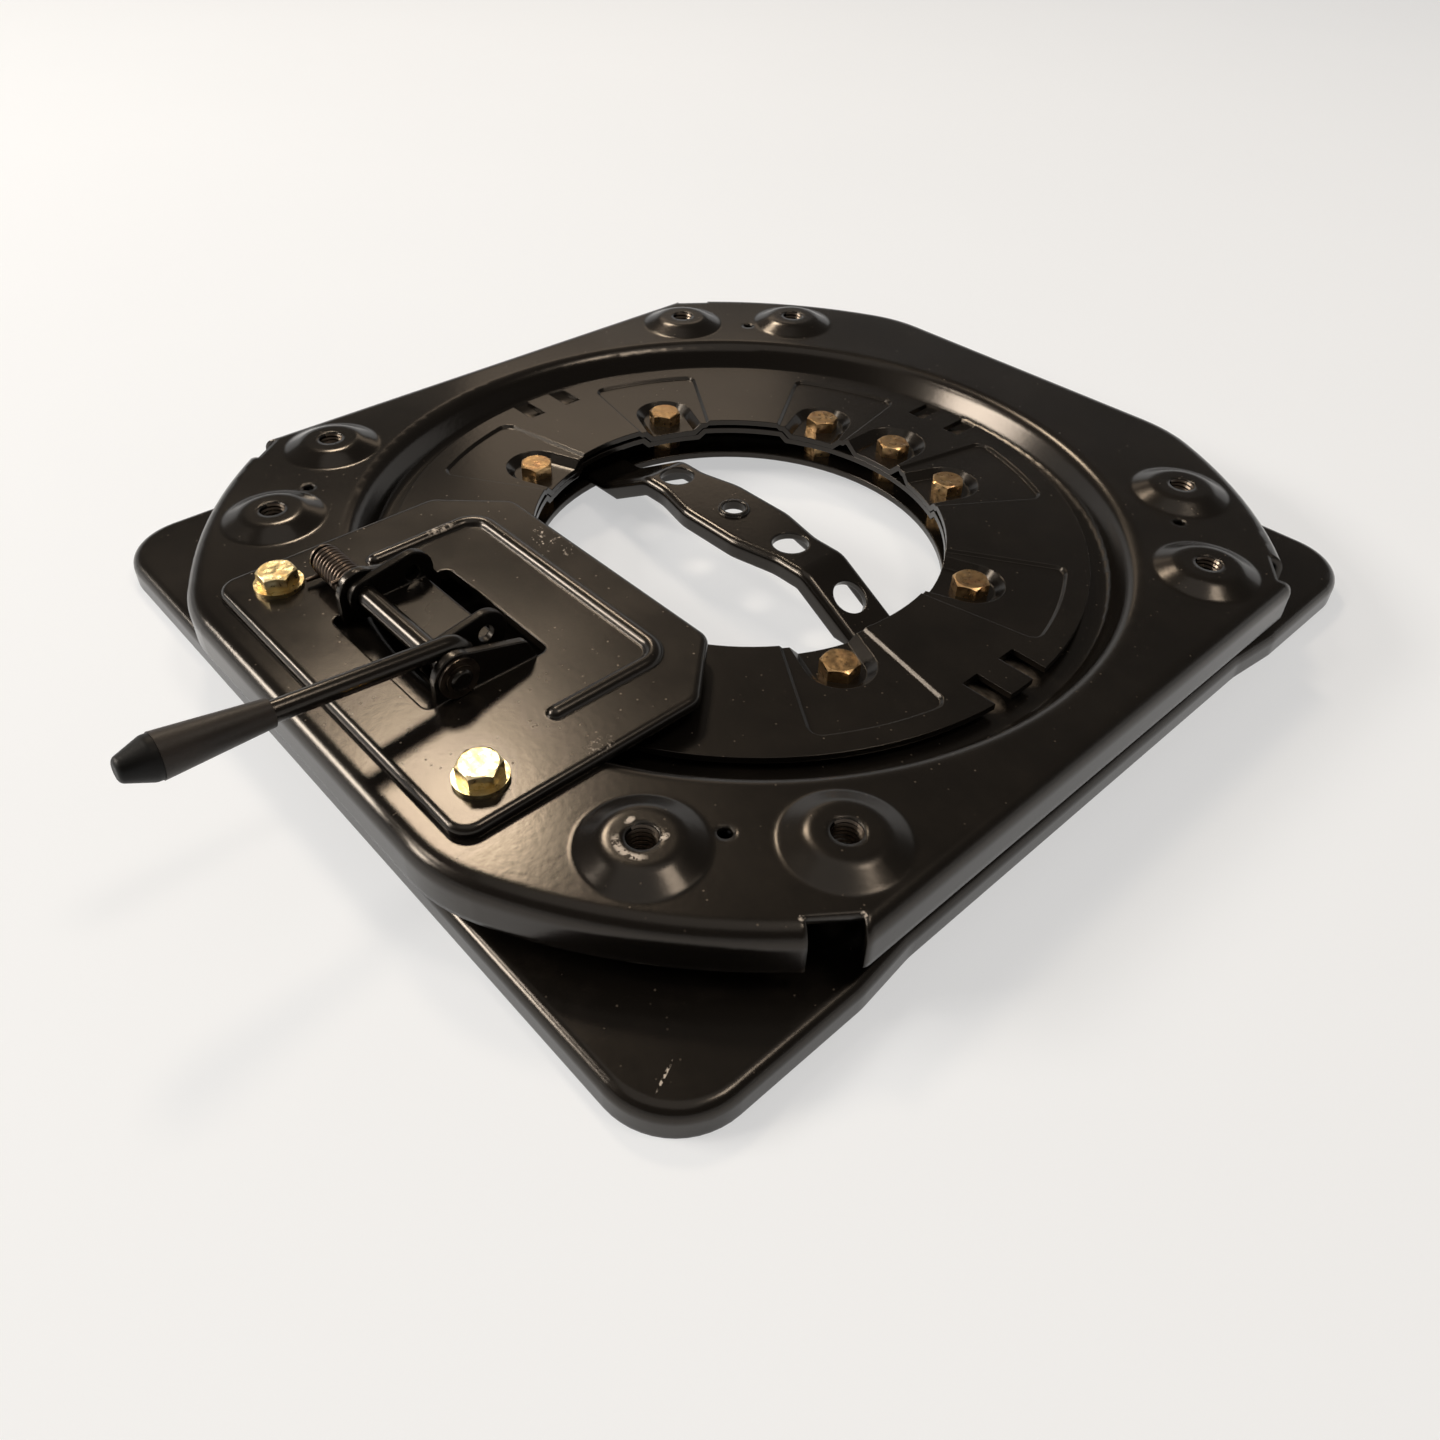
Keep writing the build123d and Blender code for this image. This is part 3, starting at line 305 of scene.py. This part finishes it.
# Top plate
# The seat's plate: steel sheet pressed with a folded rim, a recess, a sliding flange and eight bolt bosses.
# It is painted gloss black, scraped beside one boss, and its flange turns between the glide rings.
SCRAPED_BOSS = (0.1155, -0.1500, 0.0)
SCRAPED_SIDE = (0.1168, -0.1580, 0.039)
SCRAPED_HALF_SIZES = (0.0085, 0.0062, 0.006)
BOSS_CHIPS = [(0.1198, -0.1453, 0.039), (0.1082, -0.1486, 0.039)]
BOSS_CHIP_HALF_SIZES = (0.0013, 0.0021, 0.004)
NOTCH_CORNERS = [(0.1640, -0.1340, 0.035), (0.1745, -0.1200, 0.035)]
NOTCH_CHIP_HALF_SIZES = (0.0012, 0.0012, 0.002)
SIDE_SLOT = (0.1340, 0.0105, 0.0232)
SIDE_SLOT_HALF_SIZES = (0.0100, 0.0066, 0.004)
END_SLOT = (0.0105, 0.1340, 0.0232)
END_SLOT_HALF_SIZES = (0.0066, 0.0100, 0.004)
GRIME_SHARE = 0.6


def out_from(tree, place, centre):
    """The level distance from an upright axis."""
    away = vector_math(tree, "SUBTRACT", place, centre)["Vector"]
    level = vector_math(tree, "MULTIPLY", away, (1.0, 1.0, 0.0))["Vector"]
    return vector_math(tree, "LENGTH", level)["Value"]


def flange_grime(tree, place):
    """Brown dirt on the sliding flange, under the lock ring's slots at each quarter turn."""
    folded = vector_math(tree, "ABSOLUTE", place)["Vector"]
    sides = around(tree, folded, SIDE_SLOT, SIDE_SLOT_HALF_SIZES)
    ends = around(tree, folded, END_SLOT, END_SLOT_HALF_SIZES)
    dirt = times(tree, flakes(tree, place, scale=240.0, low=0.2, high=0.8), GRIME_SHARE)
    return times(tree, greater(tree, sides, ends), dirt)


def top_plate_chips(tree, place):
    """Paint scraped off in an arc beside one boss's hole, and knocked off a notch's corners."""
    reach = out_from(tree, place, SCRAPED_BOSS)
    arc = times(tree, ramp(tree, reach, low=0.0064, high=0.0072), ramp(tree, reach, low=0.0092, high=0.0084))
    arc = times(tree, arc, around(tree, place, SCRAPED_SIDE, SCRAPED_HALF_SIZES))
    scrape = times(tree, arc, flakes(tree, place, scale=620.0, low=0.46, high=0.5))
    for centre in BOSS_CHIPS:
        chip = around(tree, place, centre, BOSS_CHIP_HALF_SIZES)
        chip = times(tree, chip, flakes(tree, place, scale=700.0, low=0.42, high=0.5))
        scrape = greater(tree, scrape, chip)
    for centre in NOTCH_CORNERS:
        knock = around(tree, place, centre, NOTCH_CHIP_HALF_SIZES)
        knock = times(tree, knock, flakes(tree, place, scale=900.0, low=0.45, high=0.55))
        scrape = greater(tree, scrape, knock)
    return scrape


finish_node("top_plate", gloss_paint("top plate paint", film=0.02, specks=0.25, rounding=0.0026,
                                     chips=top_plate_chips, grime=flange_grime))

# Seat weld nuts
# Plain hexagon nuts of bare steel, one under each boss, for the seat's bolts.
# They are welded to the top plate's underside.
BARE_GREY = (0.46, 0.44, 0.41, 1.0)
STEEL_DARK_PATCH = 0.6


def steel(name, colour, smooth, dull):
    """Bare or oiled steel with a faint uneven sheen."""
    material, tree, shader = new_material(name)
    shader.inputs["Metallic"].default_value = 1.0
    patches = noise(tree, object_place(tree), scale=160.0, detail=5.0)
    mottled = blended(tree, spread(tree, patches), shaded(colour, STEEL_DARK_PATCH), colour)
    feed(tree, shader.inputs["Base Color"], mottled)
    feed(tree, shader.inputs["Roughness"], spread(tree, patches, smooth, dull))
    feed(tree, shader.inputs["Normal"], bump(tree, patches, strength=0.1, distance=0.0003))
    return material


bare_steel = steel("bare steel", BARE_GREY, smooth=0.28, dull=0.48)
finish_node("seat_weld_nuts", bare_steel)

# Seat threads
# The metric thread in each boss's bore and its nut, cut in oiled steel.
# It is a ridge that winds down the hole, and it turns with the top plate.
OILED_BROWN = (0.19, 0.155, 0.125, 1.0)
THREAD_WALL = 0.0051
THREAD_CREST = 0.0046
THREAD_PITCH = 0.00175
RIDGE_HALF_WIDTH = THREAD_PITCH * 0.42
THREAD_BOTTOM = 0.0265
THREAD_TURNS = 6.5
STEPS_PER_TURN = 28
WIDE_PATTERN = (0.1531, 0.1039)
NARROW_PATTERN = (0.1155, 0.150)


def mesh_from(name, shape, smooth):
    """The mesh of a finished shape, with its faces shaded smooth or flat."""
    for face in shape.faces:
        face.smooth = smooth
    mesh = bpy.data.meshes.new(name)
    shape.to_mesh(mesh)
    shape.free()
    return mesh


def in_scene(name, data):
    """A new object in the scene that holds this mesh, lamp or lens."""
    made = bpy.data.objects.new(name, data)
    bpy.context.scene.collection.objects.link(made)
    return made


shape = bmesh.new()
ridge_section = ((THREAD_WALL, -RIDGE_HALF_WIDTH), (THREAD_CREST, 0.0), (THREAD_WALL, RIDGE_HALF_WIDTH))
bosses = [(x * half_x, y * half_y)
          for half_x, half_y in (WIDE_PATTERN, NARROW_PATTERN) for x in (-1, 1) for y in (-1, 1)]
for x, y in bosses:
    flank = [shape.verts.new((x + radius, y, THREAD_BOTTOM + rise)) for radius, rise in ridge_section]
    ridge = [shape.edges.new(pair) for pair in zip(flank, flank[1:])]
    bmesh.ops.spin(shape, geom=flank + ridge, cent=(x, y, 0.0), axis=(0.0, 0.0, 1.0),
                   dvec=(0.0, 0.0, THREAD_PITCH / STEPS_PER_TURN), angle=math.tau * THREAD_TURNS,
                   steps=round(THREAD_TURNS * STEPS_PER_TURN))
seat_threads = in_scene("seat_threads", mesh_from("seat_threads", shape, smooth=False))
oiled_steel = steel("oiled steel", OILED_BROWN, smooth=0.26, dull=0.42)
seat_threads.data.materials.append(oiled_steel)
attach(seat_threads, "turntable")

# Latch plate
# A thicker steel plate pressed with a U bead and a window, whose lugs are folded up from it.
# It has the same paint, chipped in places, and two bolts hold it to the top plate.
BEAD_CHIP = (-0.0565, -0.1085, 0.0415)
BEAD_CHIP_HALF_SIZES = (0.0022, 0.0075, 0.003)
RIM_CHIP = (-0.024, -0.079, 0.039)
RIM_CHIP_HALF_SIZES = (0.013, 0.006, 0.003)
SCUFF = (0.078, -0.1356, 0.039)
SCUFF_HALF_SIZES = (0.004, 0.006, 0.003)
SCUFF_SHARE = 0.5


def latch_chips(tree, place):
    """Paint knocked off the bead's left leg and the plate's inner edge, and a scuff at the right."""
    bead = times(tree, around(tree, place, BEAD_CHIP, BEAD_CHIP_HALF_SIZES),
                 flakes(tree, place, scale=520.0, low=0.47, high=0.53))
    rim = times(tree, around(tree, place, RIM_CHIP, RIM_CHIP_HALF_SIZES),
                flakes(tree, place, scale=480.0, low=0.6, high=0.64))
    scuff = times(tree, around(tree, place, SCUFF, SCUFF_HALF_SIZES),
                  flakes(tree, place, scale=640.0, low=0.56, high=0.62))
    return greater(tree, greater(tree, bead, rim), times(tree, scuff, SCUFF_SHARE))


finish_node("latch_plate", gloss_paint("latch paint", film=0.05, specks=0.7, smooth=0.16, dull=0.27,
                                       chips=latch_chips))

# Latch fixings
# Two hexagon bolts on plain washers, with zinc plating that is brighter than the ring bolts'.
# They are screwed into nuts of bare steel that are welded under the top plate.
LATCH_STRAW = (0.86, 0.76, 0.48, 1.0)
LATCH_BROWN = (0.62, 0.46, 0.20, 1.0)
latch_zinc = zinc("latch bolt zinc", LATCH_STRAW, LATCH_BROWN)
finish_node("latch_bolts", latch_zinc)
finish_node("latch_washers", latch_zinc)
finish_node("latch_weld_nuts", bare_steel)

# Pivot shaft and pawl
# A painted steel shaft through the lugs, with a washer and two open clips of oiled steel on it.
# It carries the pawl, which is folded from sheet, has two lock teeth and is painted duller.
lever_paint = gloss_paint("lever paint", film=0.03, specks=0.3)
pawl_paint = gloss_paint("pawl paint", film=0.0, specks=0.3, smooth=0.2, dull=0.4, gloss=0.22)
finish_node("pivot_shaft", lever_paint)
finish_node("pivot_washer", oiled_steel)
finish_node("shaft_clips", oiled_steel)
finish_node("pawl", pawl_paint)

# Lever bar and grip
# A painted round steel bar, curled round the shaft at its inner end.
# A tapered grip of moulded plastic and its darker end cap are pushed onto it.
GRIP_BLACK = (0.024, 0.018, 0.0140, 1.0)
CAP_BLACK = (0.004, 0.0037, 0.0032, 1.0)
grip_plastic = moulded("grip plastic", GRIP_BLACK, rough=0.46, grain_scale=900.0, grain_depth=0.2, gloss=0.35)
cap_plastic = moulded("cap plastic", CAP_BLACK, rough=0.50, grain_scale=900.0, grain_depth=0.15, gloss=0.2)
finish_node("lever_bar", lever_paint)
finish_node("grip_sleeve", grip_plastic)
finish_node("grip_cap", cap_plastic)

# Closing spring
# A torsion spring of dark oiled steel wire, which closes the latch.
# It is close wound round the shaft's free end, with a straight leg at each end.
SPRING_BROWN = (0.13, 0.10, 0.08, 1.0)
finish_node("torsion_spring", steel("spring steel", SPRING_BROWN, smooth=0.26, dull=0.42))

# Floor
# A plain pale studio floor that sweeps up into a low round backdrop, painted matt.
# To the camera and in reflections it is half plain white; the other half is lit and holds the shadow.
FLOOR_RADIUS = 6.0
FLOOR_SIDES = 96
BACKDROP_HEIGHT = 1.9
SWEEP_RADIUS = 1.2
SWEEP_STEPS = 12
FLOOR_DARKER = (0.80, 0.83, 0.87, 1.0)
FLOOR_LIGHTER = (0.82, 0.85, 0.89, 1.0)
WHITE = (1.0, 1.0, 1.0, 1.0)
WHITE_SHARE = 0.5
shape = bmesh.new()
bmesh.ops.create_circle(shape, cap_ends=True, segments=FLOOR_SIDES, radius=FLOOR_RADIUS)
foot = list(shape.edges)
wall = bmesh.ops.extrude_edge_only(shape, edges=foot)["geom"]
top_edge = [part for part in wall if isinstance(part, bmesh.types.BMVert)]
bmesh.ops.translate(shape, verts=top_edge, vec=(0.0, 0.0, BACKDROP_HEIGHT))
bmesh.ops.bevel(shape, geom=foot, offset=SWEEP_RADIUS, affect="EDGES", segments=SWEEP_STEPS, profile=0.5,
                material=-1)
floor = in_scene("floor", mesh_from("floor", shape, smooth=True))
floor_paint, tree, shader = new_material("pale floor")
shader.inputs["Roughness"].default_value = 0.9
shader.inputs["Specular IOR Level"].default_value = 0.1
mottle = spread(tree, noise(tree, object_place(tree), scale=3.0, detail=4.0))
feed(tree, shader.inputs["Base Color"], blended(tree, mottle, FLOOR_DARKER, FLOOR_LIGHTER))
ray = add(tree, "ShaderNodeLightPath").outputs
seen = greater(tree, greater(tree, ray["Is Camera Ray"], ray["Is Glossy Ray"]), ray["Is Transmission Ray"])
white = add(tree, "ShaderNodeEmission", {"Color": WHITE, "Strength": 1.0}).outputs[0]
lifted = add(tree, "ShaderNodeMixShader", {0: times(tree, seen, WHITE_SHARE), 1: shader.outputs[0], 2: white})
feed(tree, tree.nodes["Material Output"].inputs["Surface"], lifted.outputs[0])
floor.data.materials.append(floor_paint)

# Studio light
# Area lamps in a dim room: a small window high behind the part, a broad box and a spot at the left front,
# one on the ceiling, a low panel behind and a wide one overhead. They don't show to the camera.
DIM_ROOM = (0.11, 0.10, 0.09, 1.0)
LEFT_LIGHT = (1.0, 0.92, 0.82)


def softbox(name, place, aim, size, power, colour):
    """A rectangular area lamp at a place, turned to shine on a point."""
    lamp = bpy.data.lights.new(name, "AREA")
    lamp.shape = "RECTANGLE"
    lamp.size, lamp.size_y = size
    lamp.energy = power
    lamp.color = colour
    box = in_scene(name, lamp)
    box.location = place
    box.rotation_euler = (Vector(aim) - Vector(place)).to_track_quat("-Z", "Y").to_euler()
    box.visible_camera = False


softbox("window", place=(-1.83, 0.71, 2.18), aim=(0.05, -0.15, 0.04), size=(0.48, 0.40), power=20.0,
        colour=(1.0, 0.84, 0.65))
softbox("left front", place=(-1.54, -1.71, 1.22), aim=(0.0, 0.1, 0.03), size=(1.2, 0.5), power=54.0,
        colour=LEFT_LIGHT)
softbox("left spot", place=(-1.21, -1.34, 1.87), aim=(0.0, 0.0, 0.03), size=(0.35, 0.35), power=7.0,
        colour=LEFT_LIGHT)
softbox("ceiling", place=(0.80, 0.61, 2.40), aim=(0.0, 0.0, 0.03), size=(0.5, 0.5), power=10.0,
        colour=(1.0, 0.88, 0.74))
softbox("back panel", place=(-0.99, 0.74, 0.66), aim=(0.0, 0.0, 0.03), size=(0.5, 0.22), power=0.34,
        colour=(1.0, 0.80, 0.60))
softbox("overhead", place=(0.15, -0.25, 3.0), aim=(0.0, 0.0, 0.0), size=(2.6, 2.6), power=10.0,
        colour=(1.0, 0.97, 0.93))

world = bpy.data.worlds.new("room")
world.use_nodes = True
world.node_tree.nodes["Background"].inputs["Color"].default_value = DIM_ROOM
bpy.context.scene.world = world

# Camera
# At the photograph's viewing angle, with its slight roll and off-centre framing.
# The place, the directions and the lens are those of the camera fitted to the photograph.
CAMERA_PLACE = Vector((0.28810, -0.29073, 0.28944))
CAMERA_RIGHT = Vector((0.671443, 0.740843, 0.017779))
CAMERA_UP = Vector((-0.475563, 0.412365, 0.777043))
CAMERA_BACK = Vector((0.568335, -0.530195, 0.629197))
FOCAL_LENGTH = 28.7233
SENSOR_WIDTH = 36.0
SHIFT_RIGHT = 0.015223
SHIFT_UP = -0.050841
lens = bpy.data.cameras.new("camera")
lens.lens = FOCAL_LENGTH
lens.sensor_width = SENSOR_WIDTH
lens.shift_x = SHIFT_RIGHT
lens.shift_y = SHIFT_UP
camera = in_scene("camera", lens)
turn = Matrix((CAMERA_RIGHT, CAMERA_UP, CAMERA_BACK)).transposed().to_4x4()
camera.matrix_world = Matrix.Translation(CAMERA_PLACE) @ turn
bpy.context.scene.camera = camera
bpy.context.scene.view_settings.view_transform = "Standard"
